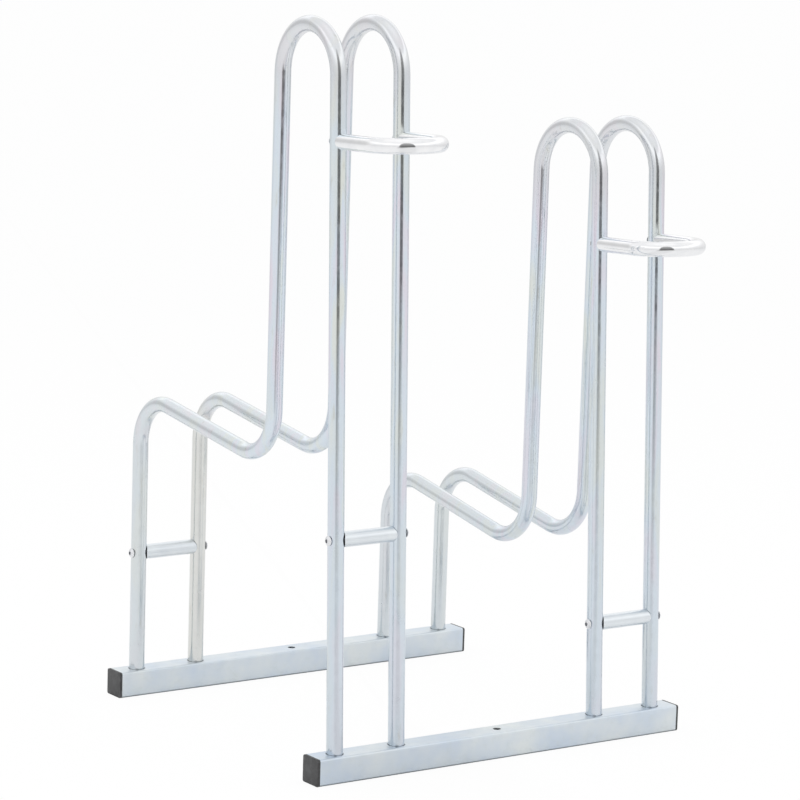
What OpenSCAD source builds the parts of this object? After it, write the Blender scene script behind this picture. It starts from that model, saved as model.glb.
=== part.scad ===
// Two-place floor bike rack with one raised and one low wheel place.
// Four bent tube loops stand in two square floor rails. Each pair of loops holds one wheel
// between them, is spaced by crossbars, and carries a guard hoop in front.
// X runs along the rails, the front of the rack faces -Y and +Z is up.
// The origin is on the floor, midway between the two floor fixing holes.

/* [Floor rails] */
// Outside width of the square rail tube
rail_w = 30; // [26:1:36]
// Wall of the rail tube
rail_wall = 2; // [1.5:0.1:2.3]
// Outside corner radius of the rail tube
rail_corner_r = 2.5; // [2.4:0.1:4]
// Length of a rail tube without its end caps
rail_len = 485; // [480:1:560]
// Distance between the middles of the two rails
rail_span = 420; // [390:1:460]
// Diameter of the floor fixing hole
fix_hole_d = 9; // [6:0.5:12]

/* [Wheel places] */
// Distance from one wheel place to the next
place_pitch = 350; // [300:1:356]
// Distance between the middles of a place's two loops
loop_pitch = 80; // [74:1:86]

/* [Loop tube] */
// Outside diameter of the loop tube
tube_d = 18; // [16:0.5:20]
// Wall of the loop tube
tube_wall = 1.5; // [1.2:0.1:2]
// Radius of every bend, to the middle of the tube
bend_r = 54; // [45:1:58]
// How much thinner the tube is round a bend
bend_thin = 0.1; // [0.05:0.05:0.3]
// Distance of the upright run behind the middle of the front rail
run_y = 136; // [125:1:150]

/* [Raised place] */
// Top of the loops above the floor
tall_top = 813; // [780:1:860]
// Height of the corner over the rear rail, where the middle lines cross
tall_knee = 358; // [340:1:370]
// Height of the corner at the upright run, where the middle lines cross
tall_vee = 320; // [310:1:330]
// Height of the front crossbar
tall_front_bar = 262; // [240:1:275]
// Height of the rear crossbar
tall_rear_bar = 168; // [120:1:240]
// Drop of the guard hoop at the legs, below the top of the loops
tall_guard_drop = 128; // [110:1:170]

/* [Low place] */
// Top of the loops above the floor
low_top = 696; // [660:1:740]
// Height of the corner over the rear rail, where the middle lines cross
low_knee = 243; // [232:1:260]
// Height of the corner at the upright run, where the middle lines cross
low_vee = 191.5; // [184:0.5:200]
// Height of the front crossbar
low_front_bar = 134; // [110:1:150]
// Drop of the guard hoop at the legs, below the top of the loops
low_guard_drop = 135; // [116:1:176]

/* [Crossbars and guard hoops] */
// Outside diameter of the crossbar and guard hoop tube
bar_d = 17; // [15:0.5:18]
// Wall of the crossbar and guard hoop tube
bar_wall = 1.5; // [1.2:0.1:2]
// Radius of the saddle cut in their ends
saddle_r = 14; // [11:0.5:20]
// Distance from the middle of the front legs to the start of the guard hoop's bend
guard_arm = 60; // [40:1:80]

/* [Screws and inserts] */
// Thread diameter of all screws
screw_d = 6; // [5:0.5:6]
// Length of the side screws under the head
side_screw_len = 35; // [33:1:36]
// Diameter of the button heads
button_d = 11; // [10.5:0.1:12]
// Height of the button heads
button_h = 3.3; // [3:0.1:4]
// Straight rim of the button heads
button_rim = 0.8; // [0.5:0.1:1.2]
// Length of the foot screws, with the head
foot_screw_len = 20; // [16:1:24]
// Diameter of the countersunk heads
csk_d = 12; // [11:0.5:12]
// Width across the flats of the hexagon sockets
socket_af = 4; // [3:0.1:4.5]
// Depth of the hexagon sockets
socket_depth = 2; // [1.5:0.1:2.2]
// Length of the threaded insert in a crossbar or guard hoop end
bar_insert_len = 15; // [12:1:18]
// How far that insert sits inside the end
bar_insert_set = 1; // [0.8:0.1:2]
// Length of the threaded insert in a foot
foot_insert_len = 22; // [20:1:30]

/* [End caps] */
// Thickness of the cap's flange
cap_t = 3; // [2.5:0.1:4]
// Chamfer round the flange
cap_chamfer = 0.6; // [0.3:0.1:1]
// Length of the plug inside the rail
cap_plug_len = 14; // [12:1:17]
// Wall of the plug
cap_plug_wall = 2; // [1.5:0.1:2.5]
// Height of the gripping fins over the plug
cap_fin_h = 1.2; // [0.8:0.1:1.5]
// Thickness of a gripping fin
cap_fin_t = 1; // [0.8:0.1:1.2]
// Number of gripping fins
cap_fins = 4; // [3:1:4]

/* [Clearances] */
// Gap round a leg in its rail hole
leg_clear = 0.4; // [0.2:0.05:0.6]
// Gap between a part and the curved tube that it seats on
seat_clear = 0.1; // [0.05:0.05:0.2]
// Gap round inserts and plug fins that are pressed in
press_clear = 0.1; // [0.05:0.05:0.2]
// Gap between a screw and its thread
thread_clear = 0.05; // [0.05:0.01:0.1]
// Gap round a screw in a plain hole
hole_clear = 0.3; // [0.2:0.05:0.5]
// Depth of a foot screw's head inside the rail's underside
csk_sink = 0.4; // [0.35:0.05:0.6]

/* [Hidden] */
$fn = 64;
// Overrun of every cut past the face that it opens
over = 1;
// Angle by which a bend runs on inside the straight runs at its ends
bend_lap = 1;
// Straight steps in each rounded corner of a rail or cap
corner_steps = 6;

tall_guard = tall_top - tall_guard_drop;
low_guard = low_top - low_guard_drop;
tube_r = tube_d / 2;
bar_r = bar_d / 2;
screw_r = screw_d / 2;
button_r = button_d / 2;
csk_r = csk_d / 2;
csk_h = csk_r - screw_r;
screw_hole_r = screw_r + hole_clear;
thread_r = screw_r + thread_clear;
front_y = -rail_span / 2;
rear_y = rail_span / 2;
rail_inner_w = rail_w - 2 * rail_wall;
arch_y = run_y - bend_r;
saddle_depth = saddle_r - sqrt(pow(saddle_r, 2) - pow(bar_r, 2));
seat_x = tube_r + seat_clear;
socket_r = socket_af / sqrt(3);

// Height of the middle of a loop's top arch
function arch_z(top) = top - tube_r - bend_r;
// Angle by which the front leg leans back from upright
function lean(top) =
    let(across = arch_y, up = arch_z(top) - rail_w)
    atan2(across, up) - asin(bend_r / norm([across, up]));
// Distance of the front leg's middle behind the front rail's middle at a height
function leg_y(top, z) = (z - rail_w) * tan(lean(top));
// Height of the middle of the front leg's lower end, which stands on the rail's floor
function foot_z(top) = rail_wall + tube_r * sin(lean(top));
// Fall of the sloping run, in degrees
function slope(knee, vee) = atan2(knee - vee, rail_span - run_y);
// Distance from a lower corner to the ends of its bend
function bend_reach(knee, vee) = bend_r * tan((90 + slope(knee, vee)) / 2);
function on_bend(centre, angle) = centre + bend_r * [cos(angle), sin(angle)];

// Places

// The middle of the raised and of the low wheel place
module at_tall() translate([-place_pitch / 2, 0, 0]) children();
module at_low() translate([place_pitch / 2, 0, 0]) children();
// The left and the right loop of a place
module at_left() translate([-loop_pitch / 2, 0, 0]) children();
module at_right() translate([loop_pitch / 2, 0, 0]) children();
module at_both() {
    at_left() children();
    at_right() children();
}

// A point on a front leg, with +Z up the leg and -Y square to it towards the front
module on_front_leg(top, z)
    translate([0, front_y + leg_y(top, z), z]) rotate([-lean(top), 0, 0]) children();
module on_rear_leg(z) translate([0, rear_y, z]) children();

// The upright plane of a loop, with its X towards the rear and its Y up from the front rail
module in_loop_plane() translate([0, front_y, 0]) rotate([90, 0, 90]) children();

// The two ends of a crossbar and of a guard hoop, with +X from the leg into the bar
module at_bar_ends() {
    at_left() children();
    at_right() rotate([0, 0, 180]) children();
}
module at_guard_ends() at_both() rotate([0, 0, -90]) children();

// The four feet in a rail, with +Z up the leg from its lower end
module at_front_feet() {
    at_tall() at_both() on_front_leg(tall_top, foot_z(tall_top)) children();
    at_low() at_both() on_front_leg(low_top, foot_z(low_top)) children();
}
module at_rear_feet() {
    at_tall() at_both() on_rear_leg(rail_wall) children();
    at_low() at_both() on_rear_leg(rail_wall) children();
}

// Floor rails

module rounded_square(w, r) {
    c = w / 2 - r;
    corners = [[c, c], [-c, c], [-c, -c], [c, -c]];
    polygon([
        for (q = [0:3], k = [0:corner_steps])
            let(a = 90 * (q + k / corner_steps))
            corners[q] + r * [cos(a), sin(a)]
    ]);
}

module rail_tube()
    rotate([90, 0, 90]) linear_extrude(rail_len, center = true) difference() {
        rounded_square(rail_w, rail_corner_r);
        rounded_square(rail_inner_w, rail_corner_r - rail_wall);
    }

// Opening for a leg through the rail's top wall
module leg_hole()
    translate([0, 0, rail_w / 2]) cylinder(h = rail_w, r = tube_r + leg_clear);

// Countersunk hole for a foot screw, lift below the leg's end
module foot_screw_hole(lift) {
    head_z = -rail_wall - lift + csk_sink;
    translate([0, 0, -rail_w / 2]) cylinder(h = rail_w, r = screw_hole_r);
    translate([0, 0, head_z]) cylinder(h = csk_h, r1 = csk_r + hole_clear, r2 = screw_hole_r);
    translate([0, 0, head_z - rail_wall]) cylinder(h = rail_wall, r = csk_r + hole_clear);
}

module fix_hole()
    translate([0, 0, -over]) cylinder(h = rail_w + 2 * over, d = fix_hole_d);

module front_rail() color("#c8d0d6") difference() {
    translate([0, front_y, rail_w / 2]) rail_tube();
    at_front_feet() leg_hole();
    at_tall() at_both() on_front_leg(tall_top, foot_z(tall_top))
        foot_screw_hole(foot_z(tall_top) - rail_wall);
    at_low() at_both() on_front_leg(low_top, foot_z(low_top))
        foot_screw_hole(foot_z(low_top) - rail_wall);
    translate([0, front_y, 0]) fix_hole();
}

module rear_rail() color("#c8d0d6") difference() {
    translate([0, rear_y, rail_w / 2]) rail_tube();
    at_rear_feet() leg_hole();
    at_rear_feet() foot_screw_hole(0);
    translate([0, rear_y, 0]) fix_hole();
}

// End caps, with the flange on the rail's end at X 0 and the plug towards -X

module cap_plate(x, t, w, r)
    translate([x, 0, 0]) rotate([90, 0, 90]) linear_extrude(t) rounded_square(w, r);

module cap_flange() hull() {
    cap_plate(0, cap_t - cap_chamfer, rail_w, rail_corner_r);
    cap_plate(0, cap_t, rail_w - 2 * cap_chamfer, rail_corner_r - cap_chamfer);
}

module end_cap() color("#2b2c2e") {
    fin_w = rail_inner_w - 2 * press_clear;
    plug_w = fin_w - 2 * cap_fin_h;
    fin_r = rail_corner_r - rail_wall;
    fin_pitch = (cap_plug_len - cap_fin_t) / cap_fins;
    difference() {
        union() {
            cap_flange();
            cap_plate(-cap_plug_len, cap_plug_len, plug_w, fin_r);
            for (i = [1:cap_fins]) cap_plate(-i * fin_pitch, cap_fin_t, fin_w, fin_r);
        }
        cap_plate(-cap_plug_len - over, cap_plug_len + over, plug_w - 2 * cap_plug_wall, fin_r);
    }
}

module right_cap(y) translate([rail_len / 2, y, rail_w / 2]) end_cap();
module left_cap(y) mirror([1, 0, 0]) right_cap(y);

// Bent tube loops

// Straight length of round bar from point a to point b of the loop plane
module straight(a, b, r) {
    run = b - a;
    translate(a) rotate([0, 0, atan2(run.y, run.x)]) rotate([0, 90, 0])
        cylinder(h = norm(run), r = r);
}

// Bent length of round bar between two angles of a bend, with its ends inside the straights
module bend(centre, from_a, to_a, r)
    translate(centre) rotate([0, 0, from_a - bend_lap])
        rotate_extrude(angle = to_a - from_a + 2 * bend_lap)
            translate([bend_r, 0]) circle(r - bend_thin / 2);

// Round bar of radius r along a whole loop, from the rear foot over both runs and the
// arch to the front foot, with both ends longer by extra
module loop_bar(r, top, knee, vee, extra) {
    fall = slope(knee, vee);
    reach = bend_reach(knee, vee);
    tilt = lean(top);
    knee_c = [rail_span - bend_r, knee - reach];
    vee_c = [run_y + bend_r, vee + reach];
    arch_c = [arch_y, arch_z(top)];
    foot = [leg_y(top, foot_z(top)), foot_z(top)];
    in_loop_plane() {
        straight([rail_span, rail_wall - extra], on_bend(knee_c, 0), r);
        bend(knee_c, 0, 90 + fall, r);
        straight(on_bend(knee_c, 90 + fall), on_bend(vee_c, 270 + fall), r);
        bend(vee_c, 180, 270 + fall, r);
        straight(on_bend(vee_c, 180), on_bend(arch_c, 0), r);
        bend(arch_c, 0, 180 - tilt, r);
        straight(on_bend(arch_c, 180 - tilt), foot - extra * [sin(tilt), cos(tilt)], r);
    }
}

// Screw hole through both walls of a tube, along local X
module cross_drill()
    rotate([0, 90, 0]) cylinder(h = tube_d + 2 * over, r = screw_hole_r, center = true);

// One loop, drilled for its crossbars and its guard hoop
module loop_tube(top, knee, vee, front_bar, guard, rear_bar = 0) color("#cdd3d6") difference() {
    loop_bar(tube_r, top, knee, vee, 0);
    loop_bar(tube_r - tube_wall, top, knee, vee, over);
    on_front_leg(top, front_bar) cross_drill();
    on_front_leg(top, guard) rotate([0, 0, 90]) cross_drill();
    if (rear_bar > 0) on_rear_leg(rear_bar) cross_drill();
}

module tall_loop()
    loop_tube(tall_top, tall_knee, tall_vee, tall_front_bar, tall_guard, tall_rear_bar);
module low_loop() loop_tube(low_top, low_knee, low_vee, low_front_bar, low_guard);

// Crossbars and guard hoops

// Cylinder that cuts a bar's end to sit on a leg, at a bar end
module saddle_cut()
    translate([seat_x - saddle_r, 0, 0])
        cylinder(h = bar_d + 2 * over, r = saddle_r, center = true);

module crossbar() color("#d2d6d9") {
    bar_len = loop_pitch - 2 * seat_x + 2 * saddle_depth + 2 * over;
    difference() {
        rotate([0, 90, 0]) cylinder(h = bar_len, r = bar_r, center = true);
        rotate([0, 90, 0])
            cylinder(h = bar_len + 2 * over, r = bar_r - bar_wall, center = true);
        at_bar_ends() saddle_cut();
    }
}

// U of round bar: two arms square to the legs and a half circle between them
module guard_bar(r, start) {
    guard_r = loop_pitch / 2;
    at_guard_ends() translate([start, 0, 0]) rotate([0, 90, 0])
        cylinder(h = guard_arm - start, r = r);
    translate([0, -guard_arm, 0]) rotate([0, 0, 180])
        rotate_extrude(angle = 180) translate([guard_r, 0]) circle(r);
}

module guard_hoop() color("#e2e4e6") difference() {
    guard_bar(bar_r, seat_x - saddle_depth - over);
    guard_bar(bar_r - bar_wall, seat_x - saddle_depth - 2 * over);
    at_guard_ends() saddle_cut();
}

// Screws and threaded inserts

module hex_socket(depth)
    translate([0, 0, -over]) linear_extrude(depth + over) circle(socket_r, $fn = 6);

// Button head screw with its shank along +Z and the head below 0
module button_screw(len) color("#d9dcde") {
    dome_h = button_h - button_rim;
    dome_r = (pow(button_r, 2) + pow(dome_h, 2)) / (2 * dome_h);
    difference() {
        union() {
            cylinder(h = len, r = screw_r);
            intersection() {
                translate([0, 0, -button_h]) cylinder(h = button_h, r = button_r);
                translate([0, 0, dome_r - button_h]) sphere(dome_r);
            }
        }
        translate([0, 0, -button_h]) hex_socket(socket_depth);
    }
}

// Countersunk screw with its head's flat face at 0 and the shank along +Z
module csk_screw(len) color("#c6cace") difference() {
    union() {
        cylinder(h = csk_h, r1 = csk_r, r2 = screw_r);
        translate([0, 0, csk_h]) cylinder(h = len - csk_h, r = screw_r);
    }
    hex_socket(socket_depth);
}

// Screw through a leg into a bar's end, and the insert that it grips there
module side_screw() translate([-seat_x, 0, 0]) rotate([0, 90, 0]) button_screw(side_screw_len);

module bar_insert() color("#a9adb0")
    translate([seat_x + bar_insert_set, 0, 0]) rotate([0, 90, 0]) difference() {
        cylinder(h = bar_insert_len, r = bar_r - bar_wall - press_clear);
        translate([0, 0, -over]) cylinder(h = bar_insert_len + 2 * over, r = thread_r);
    }

// Screw through a rail's underside into a foot, lift below the leg's end
module foot_screw(lift)
    translate([0, 0, -rail_wall - lift + csk_sink]) csk_screw(foot_screw_len);

// Threaded insert in a foot, flush with its end and countersunk for the screw's head
module foot_insert(lift) color("#a9adb0") difference() {
    head_z = -rail_wall - lift + csk_sink;
    cylinder(h = foot_insert_len, r = tube_r - tube_wall - press_clear);
    translate([0, 0, -over]) cylinder(h = foot_insert_len + 2 * over, r = thread_r);
    translate([0, 0, head_z]) cylinder(h = csk_h, r1 = csk_r + hole_clear, r2 = screw_hole_r);
}

module front_foot_inserts() {
    at_tall() at_both() on_front_leg(tall_top, foot_z(tall_top))
        foot_insert(foot_z(tall_top) - rail_wall);
    at_low() at_both() on_front_leg(low_top, foot_z(low_top))
        foot_insert(foot_z(low_top) - rail_wall);
}

module front_foot_screws() {
    at_tall() at_both() on_front_leg(tall_top, foot_z(tall_top))
        foot_screw(foot_z(tall_top) - rail_wall);
    at_low() at_both() on_front_leg(low_top, foot_z(low_top))
        foot_screw(foot_z(low_top) - rail_wall);
}

// Joints of each place

module at_tall_front_bar() at_tall() on_front_leg(tall_top, tall_front_bar) children();
module at_tall_rear_bar() at_tall() on_rear_leg(tall_rear_bar) children();
module at_low_front_bar() at_low() on_front_leg(low_top, low_front_bar) children();
module at_tall_guard() at_tall() on_front_leg(tall_top, tall_guard) children();
module at_low_guard() at_low() on_front_leg(low_top, low_guard) children();

front_rail();
rear_rail();
left_cap(front_y);  // front_left_end_cap
right_cap(front_y);  // front_right_end_cap
left_cap(rear_y);  // rear_left_end_cap
right_cap(rear_y);  // rear_right_end_cap
at_tall() at_left() tall_loop();  // tall_left_loop
at_tall() at_right() tall_loop();  // tall_right_loop
at_low() at_left() low_loop();  // low_left_loop
at_low() at_right() low_loop();  // low_right_loop
at_tall_guard() guard_hoop();  // tall_guard_hoop
at_low_guard() guard_hoop();  // low_guard_hoop
at_tall_front_bar() crossbar();  // tall_front_crossbar
at_tall_rear_bar() crossbar();  // tall_rear_crossbar
at_low_front_bar() crossbar();  // low_front_crossbar
at_tall_front_bar() at_bar_ends() bar_insert();  // tall_front_crossbar_inserts
at_tall_rear_bar() at_bar_ends() bar_insert();  // tall_rear_crossbar_inserts
at_low_front_bar() at_bar_ends() bar_insert();  // low_front_crossbar_inserts
at_tall_front_bar() at_bar_ends() side_screw();  // tall_front_crossbar_screws
at_tall_rear_bar() at_bar_ends() side_screw();  // tall_rear_crossbar_screws
at_low_front_bar() at_bar_ends() side_screw();  // low_front_crossbar_screws
at_tall_guard() at_guard_ends() bar_insert();  // tall_guard_hoop_inserts
at_low_guard() at_guard_ends() bar_insert();  // low_guard_hoop_inserts
at_tall_guard() at_guard_ends() side_screw();  // tall_guard_hoop_screws
at_low_guard() at_guard_ends() side_screw();  // low_guard_hoop_screws
front_foot_inserts();
at_rear_feet() foot_insert(0);  // rear_foot_inserts
front_foot_screws();
at_rear_feet() foot_screw(0);  // rear_foot_screws
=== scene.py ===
import math

import bmesh
import bpy
from mathutils import Matrix, Vector


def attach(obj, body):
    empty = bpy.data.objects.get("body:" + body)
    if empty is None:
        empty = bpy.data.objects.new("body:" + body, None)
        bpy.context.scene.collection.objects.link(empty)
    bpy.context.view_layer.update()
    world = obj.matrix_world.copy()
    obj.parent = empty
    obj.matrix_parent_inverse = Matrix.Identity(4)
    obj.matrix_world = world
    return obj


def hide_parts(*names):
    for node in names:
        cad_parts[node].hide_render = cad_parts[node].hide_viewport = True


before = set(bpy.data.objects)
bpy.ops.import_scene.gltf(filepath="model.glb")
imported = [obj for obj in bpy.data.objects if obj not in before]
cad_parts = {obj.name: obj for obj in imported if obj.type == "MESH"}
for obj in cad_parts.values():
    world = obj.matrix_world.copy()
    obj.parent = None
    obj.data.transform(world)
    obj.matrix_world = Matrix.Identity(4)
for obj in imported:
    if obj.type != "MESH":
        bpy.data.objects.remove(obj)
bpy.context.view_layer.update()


# Floor rails
# Two lengths of 30 mm square steel tube with small rounded corners, sawn square, holed on top for
# the legs and through the middle for the floor, and zinc plated to a satin finish. The legs' foot
# screws come up through countersunk holes in the underside.

MM = 0.001
RAIL_W = 30
RAIL_WALL = 2
RAIL_CORNER = 2.5
RAIL_LEN = 485
RAIL_Y = {"front": -210, "rear": 210}
LEG_X = {"tall_left": -215, "tall_right": -135, "low_left": 135, "low_right": 215}
PLACE_X = {"tall": -175, "low": 175}
TOP_Z = {"tall": 813, "low": 696}
LEG_GAP = 0.4
TUBE_R = 9
BEND_R = 54
ARCH_Y = 82
FIX_HOLE_R = 4.5
SCREW_R = 3
HEAD_R = 6
HOLE_GAP = 0.3
HEAD_SINK = 0.4
OVERRUN = 1
HOLE_STEPS = 64
SHARP = math.radians(35)
# Painted shade along the rails' floor edge, and dirt with painted shade round each foot
BOTTOM_SHADE_Z = 1.1
BOTTOM_SHADE_EDGE = (1.1, 0.5)
FOOT_DIRT_AND_SHADE_R = (10.3, 9.7)
DIRT_AND_SHADE_SHARE = 0.8


def lean(place):
    """Angle by which a place's front legs lean back from upright"""
    across, up = ARCH_Y, TOP_Z[place] - TUBE_R - BEND_R - RAIL_W
    return math.atan2(across, up) - math.asin(BEND_R / math.hypot(across, up))


def leg_y(place, z):
    """Distance of a front leg's middle behind the front rail's middle at a height"""
    return (z - RAIL_W) * math.tan(lean(place))


def foot_z(place):
    """Height of the middle of a front leg's lower end, which stands on the rail's floor"""
    return RAIL_WALL + TUBE_R * math.sin(lean(place))


def on_front_leg(place, x, z):
    """Matrix of a point on a front leg, with +Z up the leg and -Y square to it at the front"""
    spot = Matrix.Translation((x, RAIL_Y["front"] + leg_y(place, z), z))
    return spot @ Matrix.Rotation(-lean(place), 4, "X")


def on_rear_leg(x, z):
    """Matrix of a point on a rear leg, which stands upright"""
    return Matrix.Translation((x, RAIL_Y["rear"], z))


def foot_places(rail):
    """A rail's four feet, with +Z up the leg, and how far each end's middle is off the floor"""
    spots = []
    for leg, x in LEG_X.items():
        place = leg.split("_")[0]
        if rail == "front":
            spots.append((on_front_leg(place, x, foot_z(place)), foot_z(place) - RAIL_WALL))
        else:
            spots.append((on_rear_leg(x, RAIL_WALL), 0))
    return spots


def rounded_square(width, corner, steps=6, margin=0.4):
    """Outline of a rounded square, with a strip beside each corner so that the flats shade flat"""
    c = width / 2 - corner
    points = []
    for quarter, (cy, cz) in enumerate(((c, c), (-c, c), (-c, -c), (c, -c))):
        turn = math.pi / 2 * quarter
        arc = [turn + math.pi / 2 * k / steps for k in range(steps + 1)]
        arc = [(cy + corner * math.cos(a), cz + corner * math.sin(a)) for a in arc]
        before = (math.sin(turn) * margin, -math.cos(turn) * margin)
        after = (-math.cos(turn) * margin, -math.sin(turn) * margin)
        points.append((arc[0][0] + before[0], arc[0][1] + before[1]))
        points += arc
        points.append((arc[-1][0] + after[0], arc[-1][1] + after[1]))
    return points


def at_rail(outline, y):
    """Moves an outline to the middle of the rail at this Y"""
    return [(py + y, pz + RAIL_W / 2) for py, pz in outline]


def loft(bm, sections, closed):
    """Skins outlines of equal count at their x, closed into a ring or with a face at each end"""
    rings = [[bm.verts.new((x, y, z)) for y, z in outline] for x, outline in sections]
    pairs = list(zip(rings, rings[1:])) + ([(rings[-1], rings[0])] if closed else [])
    for a, b in pairs:
        for i in range(len(a)):
            j = (i + 1) % len(a)
            bm.faces.new((a[i], a[j], b[j], b[i]))
    if not closed:
        bm.faces.new(list(reversed(rings[0])))
        bm.faces.new(rings[-1])


def drill(bm, place, radius, low, high, steps=HOLE_STEPS):
    """Adds a round cutter along a place's Z, from low to high"""
    middle = place @ Matrix.Translation((0, 0, (low + high) / 2))
    bmesh.ops.create_cone(
        bm, cap_ends=True, segments=steps, radius1=radius, radius2=radius, depth=high - low,
        matrix=middle,
    )


def to_mesh(name, bm):
    """Turns millimetre mesh work into a mesh in metres with outward faces"""
    bmesh.ops.recalc_face_normals(bm, faces=bm.faces)
    bmesh.ops.scale(bm, vec=(MM, MM, MM), verts=bm.verts)
    mesh = bpy.data.meshes.new(name)
    bm.to_mesh(mesh)
    bm.free()
    return mesh


def smoothed(mesh):
    """Shades a mesh smooth but for its sharp edges"""
    mesh.shade_smooth()
    mesh.set_sharp_from_angle(angle=SHARP)


def to_piece(name, mesh):
    """Links a mesh as a piece at the origin, and shades it"""
    made = bpy.data.objects.new(name, mesh)
    bpy.context.collection.objects.link(made)
    smoothed(mesh)
    return made


def apply_modifiers(made):
    """Bakes a piece's modifiers into its mesh"""
    view = bpy.context.evaluated_depsgraph_get()
    mesh = bpy.data.meshes.new_from_object(made.evaluated_get(view), depsgraph=view)
    made.modifiers.clear()
    made.data = mesh


def srgb(code):
    """Linear colour of an sRGB hex value"""
    parts = [int(code[i : i + 2], 16) / 255 for i in (1, 3, 5)]
    return [p / 12.92 if p <= 0.04045 else ((p + 0.055) / 1.055) ** 2.4 for p in parts] + [1]


def add(tree, kind, inputs=None, **settings):
    """Adds a node with its settings, and fills each input from a value, a socket or sockets"""
    made = tree.nodes.new(kind)
    for key, value in settings.items():
        setattr(made, key, value)
    for key, value in (inputs or {}).items():
        several = isinstance(value, list) and hasattr(value[0], "node")
        for each in value if several else [value]:
            socket = made.inputs[key]
            if isinstance(key, str):
                socket = next(i for i in made.inputs if i.name == key and i.enabled)
            if hasattr(each, "node"):
                tree.links.new(each, socket)
            else:
                socket.default_value = each
    return made


def result(node):
    """The output that a node's settings leave in use"""
    return next(output for output in node.outputs if output.enabled)


def new_material(name):
    """An empty material and its node tree"""
    material = bpy.data.materials.new(name)
    material.use_nodes = True
    material.node_tree.nodes.clear()
    return material, material.node_tree


def cycles_per(millimetres):
    """Scale of a pattern that repeats at this real size"""
    return 1 / (millimetres * MM)


def satin_zinc_plate():
    # Satin zinc plate on drawn square tube: an even light bluish grey, a soft sheen without an
    # image in it, fine lines along the tube and slow cloudy changes of tone, with a painted shade
    # line along the floor edge, and dirt with painted shade in a dark ring round each foot.
    material, tree = new_material("satin_zinc_plate")
    where = add(tree, "ShaderNodeTexCoord").outputs["Object"]
    clouds = add(tree, "ShaderNodeTexNoise", {
        "Vector": where, "Scale": cycles_per(60), "Detail": 3, "Roughness": 0.6,
    })
    tone = add(tree, "ShaderNodeValToRGB", {"Fac": clouds.outputs["Fac"]})
    tone.color_ramp.elements[0].position = 0.3
    tone.color_ramp.elements[0].color = srgb("#c9d4e1")
    tone.color_ramp.elements[1].position = 0.7
    tone.color_ramp.elements[1].color = srgb("#dde2e3")
    stains = add(tree, "ShaderNodeTexNoise", {
        "Vector": where, "Scale": cycles_per(14), "Detail": 5, "Roughness": 0.65,
    })
    stain = add(tree, "ShaderNodeMapRange", {
        "Value": stains.outputs["Fac"], "From Min": 0.52, "From Max": 0.75, "To Max": 0.5,
    })
    tone = add(tree, "ShaderNodeMix", {
        "Factor": stain.outputs["Result"], "A": tone.outputs["Color"], "B": srgb("#cad2d4"),
    }, data_type="RGBA")
    # Painted shade: a dark line along the rail's edge on the floor, put into the finish's colour
    spot = add(tree, "ShaderNodeSeparateXYZ", {"Vector": where})
    above = add(tree, "ShaderNodeMath", {
        0: spot.outputs["Z"], 1: BOTTOM_SHADE_Z * MM,
    }, operation="SUBTRACT")
    above = add(tree, "ShaderNodeMath", {0: above.outputs[0]}, operation="ABSOLUTE")
    dirt_and_shade = add(tree, "ShaderNodeMapRange", {
        "Value": above.outputs[0], "From Min": BOTTOM_SHADE_EDGE[0] * MM, "From Max": BOTTOM_SHADE_EDGE[1] * MM,
    })
    # Dirt and painted shade: a dark ring on the rail's top round each leg's hole
    for x in LEG_X.values():
        for y in RAIL_Y.values():
            away = add(tree, "ShaderNodeVectorMath", {
                0: where, 1: (x * MM, y * MM, RAIL_W * MM),
            }, operation="DISTANCE")
            ring = add(tree, "ShaderNodeMapRange", {
                "Value": away.outputs["Value"],
                "From Min": FOOT_DIRT_AND_SHADE_R[0] * MM, "From Max": FOOT_DIRT_AND_SHADE_R[1] * MM,
            })
            dirt_and_shade = add(tree, "ShaderNodeMath", {
                0: dirt_and_shade.outputs[0], 1: ring.outputs["Result"],
            }, operation="MAXIMUM")
    # Mixes the painted shade line and the rings of dirt and painted shade into the tone
    share = add(tree, "ShaderNodeMath", {
        0: dirt_and_shade.outputs[0], 1: DIRT_AND_SHADE_SHARE,
    }, operation="MULTIPLY")
    tone = add(tree, "ShaderNodeMix", {
        "Factor": share.outputs[0], "A": result(tone), "B": srgb("#80878c"),
    }, data_type="RGBA")
    along = add(tree, "ShaderNodeMapping", {"Vector": where, "Scale": (0.03, 1, 1)})
    lines = add(tree, "ShaderNodeTexNoise", {
        "Vector": along.outputs["Vector"], "Scale": cycles_per(0.8), "Detail": 2,
    })
    rough = add(tree, "ShaderNodeMapRange", {
        "Value": lines.outputs["Fac"], "To Min": 0.34, "To Max": 0.46,
    })
    bump = add(tree, "ShaderNodeBump", {
        "Height": lines.outputs["Fac"], "Strength": 0.1, "Distance": 0.02 * MM,
    })
    skin = add(tree, "ShaderNodeBsdfPrincipled", {
        "Base Color": result(tone), "Metallic": 1.0,
        "Roughness": rough.outputs["Result"], "Normal": bump.outputs["Normal"],
    })
    add(tree, "ShaderNodeOutputMaterial", {"Surface": skin.outputs["BSDF"]})
    return material


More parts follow.
